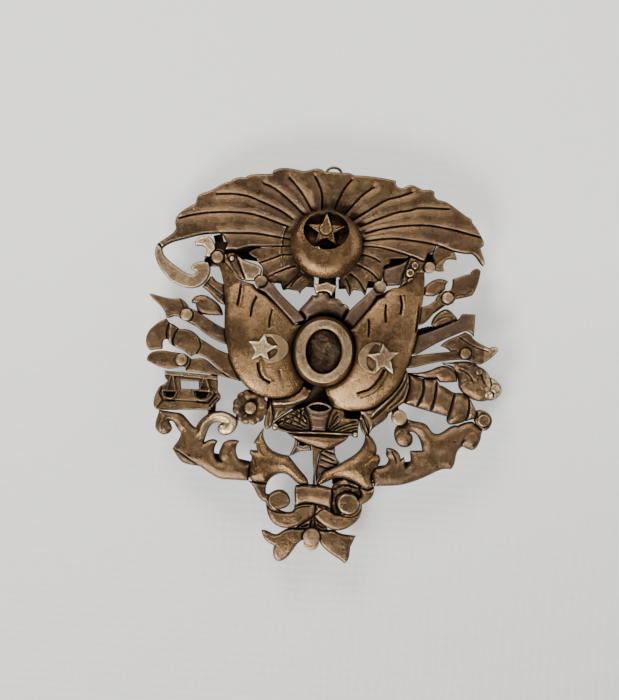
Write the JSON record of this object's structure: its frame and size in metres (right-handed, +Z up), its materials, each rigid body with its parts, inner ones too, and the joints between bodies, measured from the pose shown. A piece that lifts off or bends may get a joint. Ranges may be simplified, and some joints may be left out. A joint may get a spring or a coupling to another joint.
{
  "type": "cap badge",
  "caption": "Brass trophy of arms cap badge with a sunburst, crescent and star, two flags and a blank oval, on two shank posts with a cotter pin.",
  "frame": {"origin": "back plane of the badge, behind the middle of the blank oval, where it meets the cap", "axes": "+Z up as worn, the front faces -Y, +Y goes into the cap, +X to the right seen from the front"},
  "size_m": [0.0645, 0.01, 0.0718],
  "materials": {
    "aged_brass": "aged, worn on the high places",
    "flag_brass": "aged, warmer",
    "pale_brass": "worn bright with dark specks",
    "field_brass": "satin",
    "back_brass": "dull, tinned with solder",
    "ring_wire": "drawn wire",
    "steel_wire": "drawn wire"
  },
  "bodies": {
    "badge": {"bow": "aged_brass", "buckle_band": "aged_brass", "cannon": "aged_brass", "centre_plate": "back_brass", "centre_web": "aged_brass", "comma_curl": "pale_brass", "crescent_dome": "pale_brass", "crown": "aged_brass", "flame_spear": "aged_brass", "flat_bar": "aged_brass", "flower": "aged_brass", "helmet": "aged_brass", "hook_scroll": "aged_brass", "horn": "aged_brass", "lance": "aged_brass", "left_acanthus": "aged_brass", "left_axe": "aged_brass", "left_blade": "aged_brass", "left_drape": "aged_brass", "left_emblem": "pale_brass", "left_flag": "flag_brass", "left_halberd": "aged_brass", "left_leaf": "aged_brass", "left_mantle": "aged_brass", "left_pick": "aged_brass", "left_pole": "aged_brass", "left_pole_tip": "aged_brass", "left_scroll": "aged_brass", "left_shank": "back_brass", "left_slip": "aged_brass", "lower_left_rays": "aged_brass", "lower_right_rays": "aged_brass", "medals": "pale_brass", "oval_field": "field_brass", "oval_frame": "pale_brass", "oval_hood": "aged_brass", "ray_fan": "aged_brass", "right_acanthus": "aged_brass", "right_drape": "aged_brass", "right_emblem": "pale_brass", "right_flag": "flag_brass", "right_leaf": "aged_brass", "right_link": "aged_brass", "right_mantle": "aged_brass", "right_pole": "aged_brass", "right_pole_tip": "aged_brass", "right_scroll": "aged_brass", "right_shank": "back_brass", "right_slip": "aged_brass", "ring_staple": "back_brass", "rivets": "pale_brass", "scales_tablet": "aged_brass", "solder_strips": "back_brass", "stalk_leaf": "aged_brass", "star": "pale_brass", "swag": "aged_brass", "vase": "aged_brass", "wing_leaf": "aged_brass"},
    "cotter": {"cotter_pin": "steel_wire"},
    "ring": {"top_ring": "ring_wire"}
  },
  "joints": [
    {"name": "cotter_slide", "type": "slide", "parent": "badge", "child": "cotter", "axis": [1, 0, 0], "range_m": [0, 0.03]},
    {"name": "ring_hinge", "type": "hinge", "parent": "badge", "child": "ring", "pos_m": [0, -0.00025, 0.0315], "axis": [1, 0, 0], "range_deg": [-135, 0]}
  ]
}
